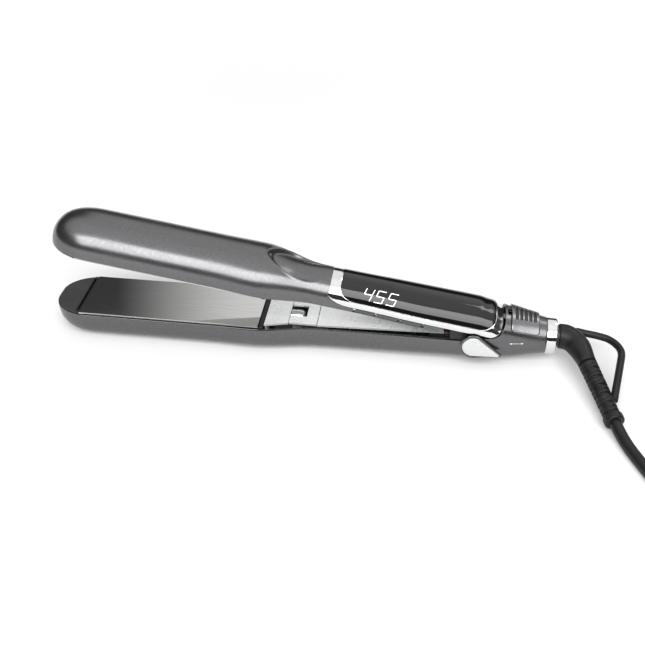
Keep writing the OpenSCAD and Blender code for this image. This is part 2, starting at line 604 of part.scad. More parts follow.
lower_shell();
lower_nose_cap();
lower_carrier();
lower_plate();
lower_heater();
lower_cushions();
lower_end_bar();
heat_shield_front();
heat_shield_middle();
stop_bumper();
heat_shield_rear();
shield_screws();
lower_bracket();
hinge_pin();
pin_clips();
torsion_spring();
pivot_rims();
pivot_caps();
rear_barrel();
end_ring();
swivel_socket();
power_board();
lead_wires();
lock_slider();
lock_tongue();
upper_shell();
upper_nose_cap();
upper_carrier();
upper_plate();
upper_heater();
upper_cushions();
upper_end_bar();
upper_cover();
bezel();
display_lens();
display_module();
display_digits();
control_board();
button_pad();
handle_frame();
power_button();
temp_up_button();
temp_down_button();
ion_module();
lock_catch();
upper_bracket();
hinge_bushes();
swivel_journal();
strain_relief();
relief_tail();
hang_loop();
cord_lead();
cord_coil();
cord_end();
cord_tie();
plug_body();
plug_blades();
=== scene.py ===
"""Looks of the hair flat iron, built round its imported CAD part.

Lengths in this script are millimetres, in the part's own frame (tip at -X, cord at +X, Z up), and
are scaled to metres where a mesh is made. The upper arm is worked out closed, then turned about the
hinge by OPEN_ANGLE, as in the CAD part.
"""

import math

import bmesh
import bpy
import numpy as np
from mathutils import Matrix, Vector


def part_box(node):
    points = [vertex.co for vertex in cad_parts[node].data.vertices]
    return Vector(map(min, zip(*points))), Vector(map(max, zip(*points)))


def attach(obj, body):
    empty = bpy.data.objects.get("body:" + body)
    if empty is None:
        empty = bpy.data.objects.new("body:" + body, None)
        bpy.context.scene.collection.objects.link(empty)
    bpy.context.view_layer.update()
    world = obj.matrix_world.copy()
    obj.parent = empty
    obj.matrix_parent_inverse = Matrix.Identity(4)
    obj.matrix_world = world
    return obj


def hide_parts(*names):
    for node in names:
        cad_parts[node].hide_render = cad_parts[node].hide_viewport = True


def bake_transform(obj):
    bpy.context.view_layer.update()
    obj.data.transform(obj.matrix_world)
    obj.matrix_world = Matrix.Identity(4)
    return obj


MM = 0.001

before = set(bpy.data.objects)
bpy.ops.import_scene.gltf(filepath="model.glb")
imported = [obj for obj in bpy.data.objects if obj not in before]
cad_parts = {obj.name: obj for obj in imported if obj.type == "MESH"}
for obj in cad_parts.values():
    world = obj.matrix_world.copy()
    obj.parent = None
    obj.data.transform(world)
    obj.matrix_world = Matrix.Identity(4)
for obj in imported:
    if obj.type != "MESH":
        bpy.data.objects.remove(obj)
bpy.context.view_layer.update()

# ---------------------------------------------------------------- sizes shared with the CAD part

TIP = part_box("lower_shell")[0].x / MM
RING_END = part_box("end_ring")[1].x / MM
RING_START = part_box("end_ring")[0].x / MM
WALL = 1.8
OPEN_ANGLE = 9.2
CONTACT_Z = 18.5  # where the closed arms' plates meet
NOSE_LEN = 27
NOSE_WIDE_P = 2.3  # squareness of the nose seen from above
NOSE_HIGH_P = 2.6  # and from the side
PIVOT = (102.7, 14.4)  # x and z of the hinge
SWIVEL_Z = 14.45
COLLAR_X = 14.6  # front of the chrome collar
LENS_X = 20.6  # front of the display panel
PANEL_END = 109.8  # rear of the display panel
SHELL_END_X = 81  # rear of the upper shell's skirts
LOWER_END_X = 104  # rear of the lower shell, front of the barrel
SPLIT = 0.15  # half the gap at a joint line
SECTION_P = 2.3  # squareness of the upper arm's section
EDGE_PHI = 81.5  # lower edge of the chrome frame, in degrees from the top
SKIRT_GAP = 0.6  # from the frame's edge to the shell's skirt, in degrees
BARREL_TOP = (115.6, 30.4)  # x and z of the barrel's highest point
BARREL_TOP_LEN = 26.4  # from there to the end ring
BARREL_FRONT_R = 16.5  # half width of the barrel's front
BARREL_REAR_R = 10.6
HEEL_CENTRE = (107, 31)  # x and z of the centre of the heel's joint line, an ellipse
HEEL_RADII = (10.5, 11.8)
HEEL_X = 112  # section that gives the joint line's height at an angle
BUTTON_X = (31, 44.6, 58.2)
BUTTON_LENGTH = 11.8
CORD_D = 6.5

# profiles along the arms, as pairs of x and the value there
UPPER_WIDTH = ((-50, 20.4), (-27, 21.2), (10, 14.6), (30, 14.6), (70, 15.8), (100, 15.9), (114, 15.2))
UPPER_TOP = ((-26, 38), (8, 33.6), (60, 34.1), (100, 34.5), (107, 33.6), (116, 30.4))
LOWER_WIDTH = ((-50, 20.4), (-27, 21.4), (12, 16.8), (60, 16.6), (95, 16.8), (104, 16.5))
LOWER_BOTTOM = ((-20, 0), (40, 1.2), (80, 1.8), (104, 1.6), (120, 1.9), (142, 3.9))
LOWER_SQUARE = ((60, 3.3), (104, 2.9), (142, 2))

LENS_CORNERS = ((30, 9.4), (101, 8.8))  # where a rounded corner starts and how long it is
LENS_PHI = 69  # half width of the display panel, in degrees
CORNER_PHI = 34  # how much of it the corners take


def ease(t):
    return t * t * (3 - 2 * t)


def prof(knots, x):
    """Value at x of a smooth curve through (x, value) knots."""
    ks = np.array(knots, float)
    x = np.clip(np.asarray(x, float), ks[0, 0], ks[-1, 0])
    i = np.clip(np.searchsorted(ks[:, 0], x, side="right") - 1, 0, len(ks) - 2)
    u = (x - ks[i, 0]) / (ks[i + 1, 0] - ks[i, 0])
    return ks[i, 1] + (ks[i + 1, 1] - ks[i, 1]) * ease(u)


def spow(v, p):
    return np.sign(v) * np.abs(v) ** p


def nose(x, x0, p):
    """0 at the nose's point, 1 where the arm is full."""
    u = np.clip((x0 + NOSE_LEN - x) / NOSE_LEN, 0, 1)
    return np.maximum(1 - u**p, 0) ** (1 / p)


def rim_gap(x):
    """From the contact plane to an arm's rim."""
    return prof(((-30, 1.6), (16, 0.6)), x)


def scoop(x, y):
    """How much the thumb rest in front of the collar lowers the surface; a faint lip runs round it."""
    centre, front_len, rear_len, half_width = -4, 20, 19, 11.5
    depth, lip_height = 2.6, 0.22
    u = np.where(x < centre, (x - centre) / front_len, (x - centre) / rear_len)
    r = np.sqrt(u * u + (y / half_width) ** 2)
    dip = depth * ease(np.clip((1 - r) / 0.2, 0, 1)) * prof(((-24, 1), (-10, 1), (13, 0)), x)
    lip = lip_height * ease(np.clip(1 - np.abs(r - 1.03) / 0.06, 0, 1)) * prof(((-10, 1), (10, 0)), x)
    return dip - lip


def upper_pt(x, phi, t=0.0):
    """Points on the closed upper arm, t inside its surface; phi is 0 at the top, 90 at the rim."""
    x, phi, t = np.broadcast_arrays(np.asarray(x, float), np.radians(phi), np.asarray(t, float))
    z0 = CONTACT_Z + rim_gap(x)
    w = (prof(UPPER_WIDTH, x) - t) * nose(x, TIP + t, NOSE_WIDE_P)
    h = (prof(UPPER_TOP, x) - z0 - t) * nose(x, TIP + t, NOSE_HIGH_P)
    y = w * spow(np.sin(phi), 2 / SECTION_P)
    return np.stack([x, y, z0 + h * spow(np.cos(phi), 2 / SECTION_P) - scoop(x, y)], -1)


def lower_centre(x):
    """Height of the lower arm's rim, and of the barrel's middle behind it."""
    level_x = 126
    start = CONTACT_Z - rim_gap(LOWER_END_X)
    barrel = prof(((LOWER_END_X, start), (level_x, SWIVEL_Z)), x)
    return np.where(x <= LOWER_END_X, CONTACT_Z - rim_gap(x), barrel)


def lower_pt(x, phi, t=0.0):
    """Points on the lower arm and rear barrel; phi is 180 at the bottom and 0 at the top."""
    x, phi, t = np.broadcast_arrays(np.asarray(x, float), np.radians(phi), np.asarray(t, float))
    p = prof(LOWER_SQUARE, x)
    z0 = lower_centre(x)
    bottom = prof(LOWER_BOTTOM, x)
    down = z0 - bottom + np.where(t > 0, 0, prof(((-40, 0.35), (-10, 0)), x))
    top_x, top_z = BARREL_TOP
    top = top_z + (SWIVEL_Z + BARREL_REAR_R - top_z) * (x - top_x) / BARREL_TOP_LEN
    rise = np.where(np.cos(phi) > 0, top - z0, down)
    taper = (BARREL_REAR_R - BARREL_FRONT_R) * (x - LOWER_END_X) / (RING_START - LOWER_END_X)
    w = np.where(x <= LOWER_END_X, prof(LOWER_WIDTH, x), BARREL_FRONT_R + taper)
    w = (w - t) * nose(x, TIP + t, NOSE_WIDE_P)
    z = z0 + (rise - t) * nose(x, TIP + t, NOSE_HIGH_P) * spow(np.cos(phi), 2 / p)
    # the maximum keeps the land that the iron lies on flat
    return np.stack([x, w * spow(np.sin(phi), 2 / p), np.maximum(z, bottom)], -1)


def opened(points):
    """Turns the closed upper arm's points about the hinge to where it rests."""
    a = math.radians(OPEN_ANGLE)
    p = np.array(points, float)
    x, z = p[..., 0] - PIVOT[0], p[..., 2] - PIVOT[1]
    p[..., 0] = PIVOT[0] + x * math.cos(a) + z * math.sin(a)
    p[..., 2] = PIVOT[1] - x * math.sin(a) + z * math.cos(a)
    return p


def heel_line(z):
    """X of the joint line between the upper arm's heel and the rear barrel, arm open."""
    (x0, z0), (rx, rz) = HEEL_CENTRE, HEEL_RADII
    return x0 + rx * np.sqrt(np.maximum(0, 1 - ((z0 - z) / rz) ** 2))


def barrel_front(phi):
    """X of the barrel's front edge: behind the heel above the shell's rim, at the shell below it."""
    rim_z = 18.4
    z = lower_pt(HEEL_X, phi)[..., 2]
    return np.where(z > rim_z, heel_line(z) + 3 * SPLIT, LOWER_END_X + SPLIT)


def heel_end(phi):
    """X of the heel's rear edge on the closed upper arm."""
    a = math.radians(OPEN_ANGLE)
    z = upper_pt(HEEL_X, phi)[..., 2] - PIVOT[1]
    zo = z * math.cos(a) - (HEEL_X - PIVOT[0]) * math.sin(a)
    xo = heel_line(zo + PIVOT[1]) - 2 * SPLIT - PIVOT[0]
    return PIVOT[0] + xo * math.cos(a) - zo * math.sin(a)


def lens_phi(x):
    """Half width of the display panel in degrees, with quarter-ellipse corners at both ends."""
    x = np.asarray(x, float)
    (front, f_len), (rear, r_len) = LENS_CORNERS
    u = np.clip(np.maximum((front - x) / f_len, (x - rear) / r_len), 0, 1)
    return LENS_PHI - CORNER_PHI * (1 - np.sqrt(1 - u * u))


def frame_edge(x):
    """Lower edge of the chrome frame in degrees; its front corner is round."""
    corner_len, corner_phi = 13, 21.5
    u = np.clip((COLLAR_X + corner_len - np.asarray(x, float)) / corner_len, 0, 1)
    return EDGE_PHI - corner_phi * (1 - np.sqrt(1 - u * u))


def corner_rows(n=10):
    """X of rows that follow the panel's rounded corners, front and rear."""
    a = np.linspace(0, math.pi / 2, n)
    (front, f_len), (rear, r_len) = LENS_CORNERS
    return front - f_len * np.cos(a), rear + r_len * np.sin(a)


# ---------------------------------------------------------------- camera

def new_object(name, data):
    obj = bpy.data.objects.new(name, data)
    bpy.context.scene.collection.objects.link(obj)
    return obj


def make_camera():
    """Above the near side, with the photograph's perspective."""
    data = bpy.data.cameras.new("camera")
    data.sensor_width = 36
    data.lens = 51.05
    data.clip_start, data.clip_end = 0.01, 20
    cam = new_object("camera", data)
    azimuth, elevation, distance = math.radians(7.61), math.radians(36.65), 550.84
    target = Vector((11.85, 6.18, 6.12))
    back = Vector((math.sin(azimuth) * math.cos(elevation),
                   -math.cos(azimuth) * math.cos(elevation), math.sin(elevation)))
    cam.location = (target + back * distance) * MM
    cam.rotation_mode = "QUATERNION"
    cam.rotation_quaternion = (-back).to_track_quat("-Z", "Y")
    bpy.context.scene.camera = cam


make_camera()

# ---------------------------------------------------------------- mesh tools

UP = Vector((0, 0, 1))
HARD_ANGLE = math.radians(45)  # an edge that turns more than this is bevelled


def smooth_path(points, step):
    """Points about a step apart on a smooth curve through the given ones."""
    ks = [Vector(p) for p in points]
    ks = [2 * ks[0] - ks[1]] + ks + [2 * ks[-1] - ks[-2]]
    out = []
    for i in range(1, len(ks) - 2):
        a, b, c, d = ks[i - 1:i + 3]
        n = max(1, round((c - b).length / step))
        for j in range(n):
            u = j / n
            out.append(0.5 * ((2 * b) + (c - a) * u + (2 * a - 5 * b + 4 * c - d) * u * u
                              + (3 * b - a - 3 * c + d) * u * u * u))
    out.append(ks[-2])
    return out


def piece(name, points, faces, material, bevel=0.0, sharp=38):
    """A mesh object from millimetre points, with its hard edges softened by bevel."""
    mesh = bpy.data.meshes.new(name)
    mesh.from_pydata((np.asarray(points, float).reshape(-1, 3) * MM).tolist(), [], faces)
    bm = bmesh.new()
    bm.from_mesh(mesh)
    bmesh.ops.delete(bm, geom=[v for v in bm.verts if not v.link_faces], context="VERTS")
    bmesh.ops.recalc_face_normals(bm, faces=bm.faces[:])
    if bevel:
        hard = [e for e in bm.edges if len(e.link_faces) == 2 and e.calc_face_angle(0) > HARD_ANGLE]
        bmesh.ops.bevel(bm, geom=hard, offset=bevel * MM, offset_type="OFFSET", segments=2,
                        profile=0.5, affect="EDGES", clamp_overlap=True)
    bm.to_mesh(mesh)
    bm.free()
    mesh.shade_smooth()
    mesh.set_sharp_from_angle(angle=math.radians(sharp))
    obj = new_object(name, mesh)
    obj.data.materials.append(material)
    return obj


def skin_faces(rows, cols, keep=None, wrap=False, cap=False):
    """Faces of a wall between two grids, the second one's points after the first one's."""
    n = rows * cols
    nj = cols if wrap else cols - 1
    if keep is None:
        keep = np.ones((rows - 1, nj), bool)

    def there(i, j):
        j = j % nj if wrap else j
        return 0 <= i < rows - 1 and 0 <= j < nj and keep[i, j]

    faces = []
    for i in range(rows - 1):
        for j in range(nj):
            if not keep[i, j]:
                continue
            k = (j + 1) % cols
            a, b, e, d = i * cols + j, (i + 1) * cols + j, (i + 1) * cols + k, i * cols + k
            faces.append((a, b, e, d))
            faces.append((a + n, d + n, e + n, b + n))
            if not there(i, j - 1):
                faces.append((a, a + n, b + n, b))
            if not there(i, j + 1):
                faces.append((e, e + n, d + n, d))
            if not there(i - 1, j) and not (cap and i == 0):
                faces.append((d, d + n, a + n, a))
            if not there(i + 1, j):
                faces.append((b, b + n, e + n, e))
    if cap:
        faces.append(tuple(range(cols)))
        faces.append(tuple(n + j for j in range(cols)))
        faces.append((cols - 1, 0, n, n + cols - 1))
    return faces


def skin(name, outer, inner, material, keep=None, wrap=False, cap=False, **more):
    rows, cols = outer.shape[:2]
    points = np.concatenate([outer.reshape(-1, 3), inner.reshape(-1, 3)])
    return piece(name, points, skin_faces(rows, cols, keep, wrap, cap), material, **more)


def ring_faces(rows, cols, bands):
    """Faces of the given number of bands between neighbouring rings; a last one goes back to the first."""
    return [(i * cols + k, i * cols + (k + 1) % cols,
             (i + 1) % rows * cols + (k + 1) % cols, (i + 1) % rows * cols + k)
            for i in range(bands) for k in range(cols)]


def loft(name, rings, material, **more):
    """A closed solid through rings of equal point counts."""
    rings = np.array(rings)
    rows, cols = rings.shape[:2]
    faces = ring_faces(rows, cols, rows - 1)
    faces.append(tuple(range(cols)))
    faces.append(tuple((rows - 1) * cols + k for k in range(cols)))
    return piece(name, rings, faces, material, **more)


def sweep(name, path, radius, sides, material, round_ends=0.0, **more):
    """A tube along path. radius is a number, or a function of the share of the length and of the
    angle round the tube; round_ends is how many millimetres each end takes to round off."""
    points = [Vector(p) for p in path]
    count = len(points)
    along = np.concatenate([[0], np.cumsum([(b - a).length for a, b in zip(points, points[1:])])])
    side = None
    rings = []
    angles = np.arange(sides) * 2 * math.pi / sides
    for i, p in enumerate(points):
        way = (points[min(i + 1, count - 1)] - points[max(i - 1, 0)]).normalized()
        side = (way.cross(UP) if side is None else side - way * side.dot(way)).normalized()
        up = side.cross(way)
        share = along[i] / along[-1]
        r = radius(share, angles) if callable(radius) else np.full(sides, float(radius))
        if round_ends:
            near = min(along[i], along[-1] - along[i]) / round_ends
            r = r - (round_ends * (1 - math.sqrt(max(0, 1 - (1 - near) ** 2))) if near < 1 else 0)
        rings.append(np.array(p) + np.outer(r * np.cos(angles), side) + np.outer(r * np.sin(angles), up))
    return loft(name, rings, material, **more)


def lathe(name, profile, sides, place, material, **more):
    """A closed profile of (along, radius) pairs turned about the line along X through place."""
    angles = np.arange(sides) * 2 * math.pi / sides
    points = [(place[0] + a, place[1] + r * math.cos(t), place[2] + r * math.sin(t))
              for a, r in profile for t in angles]
    n = len(profile)
    return piece(name, points, ring_faces(n, sides, n), material, **more)


def put(obj, body, slot, *nodes):
    """The piece rides on a body and stands for CAD nodes; slot is not used."""
    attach(obj, body)
    if nodes:
        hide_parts(*nodes)
    return obj


# ---------------------------------------------------------------- materials

class Paint:
    """A Principled material and short ways to add its nodes."""

    def __init__(self, name, color, roughness, metallic=0.0, **sockets):
        self.mat = bpy.data.materials.new(name)
        self.mat.use_nodes = True
        self.tree = self.mat.node_tree
        self.bsdf = self.tree.nodes["Principled BSDF"]
        self.set(self.bsdf, {"Base Color": (*color, 1), "Metallic": metallic, "Roughness": roughness})
        self.set(self.bsdf, {k.replace("_", " "): v for k, v in sockets.items()})
        self.coords = self.tree.nodes.new("ShaderNodeTexCoord").outputs["Object"]
        self.bump_in = None

    @staticmethod
    def set(node, values):
        for key, value in values.items():
            node.inputs[key].default_value = value

    def link(self, a, b):
        self.tree.links.new(a, b)

    def stretch(self, scale):
        node = self.tree.nodes.new("ShaderNodeMapping")
        node.inputs["Scale"].default_value = scale
        self.link(self.coords, node.inputs["Vector"])
        return node.outputs["Vector"]

    def noise(self, per_metre, detail, stretch=(1, 1, 1)):
        node = self.tree.nodes.new("ShaderNodeTexNoise")
        self.set(node, {"Scale": per_metre, "Detail": detail, "Roughness": 0.55})
        self.link(self.stretch(stretch), node.inputs["Vector"])
        return node.outputs["Fac"]

    def ramp(self, value, stops):
        node = self.tree.nodes.new("ShaderNodeValToRGB")
        elements = node.color_ramp.elements
        while len(elements) < len(stops):
            elements.new(0.5)
        for element, (at, color) in zip(elements, stops):
            element.position = at
            element.color = (*color, 1)
        self.link(value, node.inputs["Fac"])
        return node.outputs["Color"]

    def spread(self, value, low, high):
        """Maps 0.3 to 0.7 of a texture onto low to high."""
        node = self.tree.nodes.new("ShaderNodeMapRange")
        self.set(node, {"From Min": 0.3, "From Max": 0.7, "To Min": low, "To Max": high})
        self.link(value, node.inputs["Value"])
        return node.outputs["Result"]

    def tint(self, value, dark, light):
        self.link(self.ramp(value, ((0.3, dark), (0.7, light))), self.bsdf.inputs["Base Color"])
        return self

    def rough(self, value, low, high):
        self.link(self.spread(value, low, high), self.bsdf.inputs["Roughness"])
        return self

    def bump(self, value, strength, distance):
        node = self.tree.nodes.new("ShaderNodeBump")
        self.set(node, {"Strength": strength, "Distance": distance * MM})
        self.link(value, node.inputs["Height"])
        if self.bump_in is not None:
            self.link(self.bump_in, node.inputs["Normal"])
        self.bump_in = node.outputs["Normal"]
        self.link(self.bump_in, self.bsdf.inputs["Normal"])
        return self


def satin_metal(name, dark, light, low, high):
    """Metallic lacquer: fine flake, faint handling marks."""
    paint = Paint(name, light, metallic=0.9, roughness=0.32)
    flake = paint.noise(5200, 2)
    cloud = paint.noise(45, 3)
    paint.tint(paint.noise(900, 4), dark, light)
    paint.rough(cloud, low, high)
    return paint.bump(flake, 0.05, 0.05).mat


def brushed(name, dark, light, low, high, along=(0.02, 1, 1), metallic=1.0):
    """Metal with fine lines along one axis."""
    paint = Paint(name, light, metallic=metallic, roughness=low)
    lines = paint.noise(2600, 3, along)
    paint.tint(lines, dark, light)
    paint.rough(paint.noise(160, 4), low, high)
    return paint.bump(lines, 0.012, 0.02).mat


def moulded(name, dark, light, low=0.45, high=0.6, grain=1400, depth=0.04, shine=0.5):
    """Moulded plastic or rubber with a fine spark-eroded grain."""
    paint = Paint(name, light, roughness=(low + high) / 2, Specular_IOR_Level=shine)
    fine = paint.noise(grain, 3)
    paint.tint(paint.noise(60, 4), dark, light)
    paint.rough(paint.noise(200, 3), low, high)
    return paint.bump(fine, 0.35, depth).mat


def gloss_panel(name):
    """Glossy black acrylic with hairline wear."""
    paint = Paint(name, (0.004, 0.004, 0.005), roughness=0.05, IOR=1.5)
    paint.tint(paint.noise(30, 3), (0.003, 0.003, 0.004), (0.006, 0.006, 0.007))
    paint.rough(paint.noise(800, 5, (0.05, 1, 1)), 0.035, 0.085)
    return paint.bump(paint.noise(3000, 2, (0.1, 1, 1)), 0.01, 0.01).mat


def lit(name, color, power):
    """Light segments behind the panel, a little uneven."""
    paint = Paint(name, (0.9, 0.92, 0.95), roughness=0.3, Emission_Strength=power)
    glow = paint.ramp(paint.noise(500, 2), ((0.3, tuple(c * 0.9 for c in color)), (0.7, color)))
    paint.link(glow, paint.bsdf.inputs["Emission Color"])
    paint.rough(paint.noise(900, 2), 0.25, 0.35)
    return paint.mat


GREY = satin_metal("gunmetal_lacquer", (0.125, 0.123, 0.127), (0.16, 0.158, 0.162), 0.22, 0.28)
LOWER_GREY = satin_metal("gunmetal_lower", (0.12, 0.118, 0.122), (0.152, 0.15, 0.154), 0.22, 0.3)
# a lighter copy of the gunmetal lacquer: painted light, for the lit top of the lock pad and the ribs
# between the keys
PAINTED_LIGHT_GREY = satin_metal("lacquer_painted_light", (0.17, 0.17, 0.174), (0.215, 0.215, 0.22), 0.24, 0.32)
# a darker copy of the gunmetal lacquer: painted shade for the walls in the gap between the plates
PAINTED_SHADE_GREY = satin_metal("plate_wall", (0.07, 0.07, 0.072), (0.1, 0.1, 0.102), 0.25, 0.33)
CHROME = brushed("chrome_frame", (0.66, 0.665, 0.67), (0.74, 0.745, 0.75), 0.07, 0.12)
SILVER = brushed("silver_cover", (0.84, 0.85, 0.85), (0.9, 0.905, 0.905), 0.26, 0.32, (1, 0.03, 1), 0.5)
CAP_SILVER = brushed("pivot_cap_silver", (0.6, 0.605, 0.61), (0.66, 0.665, 0.67), 0.25, 0.34,
                     metallic=0.6)
TITANIUM = brushed("titanium_plate", (0.50, 0.495, 0.49), (0.57, 0.565, 0.56), 0.03, 0.06)
# steel darkened as painted shade, for the brackets down between the arms
PAINTED_SHADE_STEEL = brushed("steel_painted_shade", (0.10, 0.10, 0.10), (0.15, 0.15, 0.15), 0.3, 0.42)
STEEL = brushed("steel", (0.55, 0.55, 0.55), (0.66, 0.66, 0.66), 0.25, 0.38)
DARK = moulded("dark_plastic", (0.02, 0.02, 0.021), (0.032, 0.032, 0.034), 0.4, 0.52)
BLACK = moulded("black_plastic", (0.008, 0.008, 0.008), (0.014, 0.014, 0.014), 0.35, 0.5)
RUBBER = moulded("black_rubber", (0.004, 0.004, 0.004), (0.009, 0.009, 0.009), 0.4, 0.54, 1800, 0.05,
                 shine=0.3)
TIE = moulded("tie_strap", (0.012, 0.012, 0.012), (0.022, 0.022, 0.022), 0.6, 0.75, 900, 0.12)
BUTTON = moulded("button_plastic", (0.055, 0.055, 0.057), (0.075, 0.075, 0.077), 0.32, 0.42)
CERAMIC = moulded("heater_ceramic", (0.75, 0.74, 0.72), (0.86, 0.85, 0.83), 0.55, 0.7, 900)
SILICONE = moulded("silicone", (0.36, 0.08, 0.035), (0.45, 0.11, 0.05), 0.45, 0.6, 700)
# the boards' own green, darkened as painted shade for where they sit between the arms
PAINTED_SHADE_BOARD = moulded("circuit_board", (0.001, 0.008, 0.003), (0.002, 0.014, 0.005), 0.35, 0.5, 500, 0.05)
BRONZE = brushed("bronze", (0.40, 0.24, 0.10), (0.52, 0.33, 0.15), 0.3, 0.42)
BRASS = brushed("plug_brass", (0.62, 0.47, 0.22), (0.72, 0.57, 0.29), 0.2, 0.3, (1, 1, 0.03))
RED = moulded("wire_red", (0.06, 0.004, 0.003), (0.09, 0.006, 0.004), 0.4, 0.5, 900)
PANEL = gloss_panel("black_gloss_panel")
DIGITS = lit("display_light", (0.93, 0.97, 1.0), 1.1)
MARK = moulded("printed_mark", (0.6, 0.6, 0.6), (0.7, 0.7, 0.7), 0.4, 0.5)

# ---------------------------------------------------------------- cord

LEAD_ROUTE = ((175.93, -60.6, 5.69), (177.1, -64.8, 5.07), (179.3, -71, 4), (182, -77.5, 3.3),
              (185, -84.5, 3.3), (188.5, -92, 3.3), (194, -103, 3.3), (200, -115, 3.3),
              (206.3, -126.9, 3.7))
COIL_CENTRE = (246, -104)
COIL_RADIUS = 42.5  # of the outermost turn's middle
STRAP_T = 0.8
END_ROUTE = ((218.9, -138.7, 22.8), (228.6, -147.1, 22.4), (241.8, -152.6, 20.5), (256.2, -152.3, 17.5),
             (270, -147.5, 14), (282, -137.5, 10.2), (290, -125, 6.9), (294.5, -113, 4.4),
             (296, -103, 3.3), (295.6, -94, 4), (294.2, -85, 5.8), (292.61, -75.92, 6.6),
             (291.5, -68, 6.6))


def coil_turns():
    """Turns of the stored length: each layer crosses three columns, then climbs to the next.

    A step takes 100 degrees. Steps inwards, at the outside climb, outwards and at the inside climb
    have their own places round the coil, so that no turn runs into another."""
    step, spacing, layers = 100, 12, 4
    inwards, climb_outside, outwards, climb_inside = 270, 350, 100, 160
    start, end = 228, 3240 + 222
    strap_at, hump_reach, hump_rise = 90, 44, 32
    floor_gap = 0.04
    moves = []
    theta = start
    for layer in range(layers):
        sign, cross, climb = ((-1, inwards, climb_inside), (1, outwards, climb_outside))[layer % 2]
        shifts = [(cross, sign * CORD_D, 0)] * 2
        if layer < layers - 1:
            shifts.append((climb, 0, CORD_D))
        for place, out, up in shifts:
            theta += (place - theta) % 360
            moves.append((theta, out, up))
            theta += step
    points = []
    for theta in range(start, end, spacing):
        r, z = COIL_RADIUS, CORD_D / 2 + floor_gap
        for at, out, up in moves:
            done = ease(min(1, max(0, (theta - at) / step)))
            r += out * done
            z += up * done
        # every layer humps over the strap
        off_strap = abs((theta - strap_at + 180) % 360 - 180)
        z += STRAP_T * ease(min(1, max(0, (hump_reach - off_strap) / hump_rise)))
        a = math.radians(theta)
        points.append((COIL_CENTRE[0] + r * math.cos(a), COIL_CENTRE[1] + r * math.sin(a), z))
    return points


def make_cord():
    """The whole mains cord as one tube, with its path and its length in metres."""
    route = list(LEAD_ROUTE) + coil_turns() + list(END_ROUTE)
    path = smooth_path(route, 2.6)
    length = sum((b - a).length for a, b in zip(path, path[1:])) * MM
    cord = sweep("mains_cord", path, CORD_D / 2, 20, RUBBER)
    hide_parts("cord_lead", "cord_coil", "cord_end")
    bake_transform(cord)
    return cord, path, length


cord, cord_path, cord_length = make_cord()

# ---------------------------------------------------------------- shells of the arms

def steps(low, high, size):
    """Even steps of about size from low to high, both ends included."""
    return np.linspace(low, high, max(2, round((high - low) / size) + 1))


def nose_rows():
    """X of the rows round the nose, close together at its point, and how much of the wall they have."""
    count = 30
    a = np.radians(np.linspace(86, 2, count))
    xs = TIP + NOSE_LEN * (1 - np.sin(a))
    return xs, WALL * (1 - np.arange(count) / count)


NOSE_X, NOSE_IN = nose_rows()
SHELL_BEVEL = 0.28
FRONT_X = np.concatenate([NOSE_X, steps(TIP + NOSE_LEN, -30, 1.6), steps(-29, COLLAR_X - SPLIT, 0.5)])


def shell_rows(rear):
    """X of a shell's rows, outside and inside."""
    xs = np.concatenate([FRONT_X, rear])
    return xs, np.concatenate([xs[:len(NOSE_IN)] + NOSE_IN, xs[len(NOSE_IN):]])


def make_lower_shell():
    xs, xin = shell_rows(steps(16, LOWER_END_X, 2))
    phis = np.concatenate([[90, 90.8], steps(92.5, 267.5, 2.5), [269.2, 270]])
    outer = lower_pt(xs[:, None], phis[None, :])
    inner = lower_pt(xin[:, None], phis[None, :], WALL)
    shell = skin("lower_shell_moulding", outer, inner, LOWER_GREY, cap=True, bevel=SHELL_BEVEL)
    put(shell, "lower_arm", "metallic_grey", "lower_shell")


def make_upper_shell():
    """The upper shell with its side skirts; the buttons' window leaves a thin strip under it."""
    window = (30, 71)
    strip_phi, rim_phi = 89.3, 90
    skirt_phi = EDGE_PHI + SKIRT_GAP
    rear = np.concatenate([[COLLAR_X - SPLIT + 0.02], steps(COLLAR_X + 0.4, window[0], 0.6),
                           steps(32, 70, 2), [window[1]], steps(72.2, SHELL_END_X, 1.1)])
    xs, xin = shell_rows(rear)
    half = np.concatenate([steps(0, 80, 1.25), [skirt_phi, 84.5, 87, strip_phi, rim_phi]])
    phis = np.concatenate([-half[:0:-1], half])
    outer = upper_pt(xs[:, None], phis[None, :])
    inner = upper_pt(xin[:, None], phis[None, :], WALL)
    mid = (phis[1:] + phis[:-1]) / 2
    front = xs[:-1] < COLLAR_X - SPLIT - 0.01
    skirt = np.abs(mid) > skirt_phi
    keep = front[:, None] | skirt[None, :]
    open_here = (xs[:-1] >= window[0]) & (xs[:-1] < window[1])
    keep &= ~(open_here[:, None] & (mid > -strip_phi)[None, :] & (mid < 0)[None, :])
    # the skirts' top edge follows the frame
    edge = list(half).index(skirt_phi)
    for i, x in enumerate(xs):
        if x > COLLAR_X - SPLIT + 0.01:
            for col, sign in ((len(half) - 1 + edge, 1), (len(half) - 1 - edge, -1)):
                outer[i, col] = upper_pt(x, sign * (frame_edge(x) + SKIRT_GAP))
                inner[i, col] = upper_pt(x, sign * (frame_edge(x) + SKIRT_GAP), WALL)
    # the skirts end in a rounded corner
    corner_x, corner_phi = SHELL_END_X - 4, 5.5
    away = np.abs(phis)
    for i, x in enumerate(xs):
        if x > corner_x:
            u = (x - corner_x) / (SHELL_END_X - corner_x)
            low = rim_phi - corner_phi * (1 - math.sqrt(max(0, 1 - u * u)))
            drawn_in = skirt_phi + (away - skirt_phi) * (low - skirt_phi) / (rim_phi - skirt_phi)
            row_phis = np.sign(phis) * np.where(away > skirt_phi, drawn_in, away)
            outer[i] = upper_pt(xs[i], row_phis)
            inner[i] = upper_pt(xin[i], row_phis, WALL)
    shell = skin("upper_shell_moulding", opened(outer), opened(inner), GREY, keep, cap=True,
                 bevel=SHELL_BEVEL)
    put(shell, "upper_arm", "metallic_grey", "upper_shell")


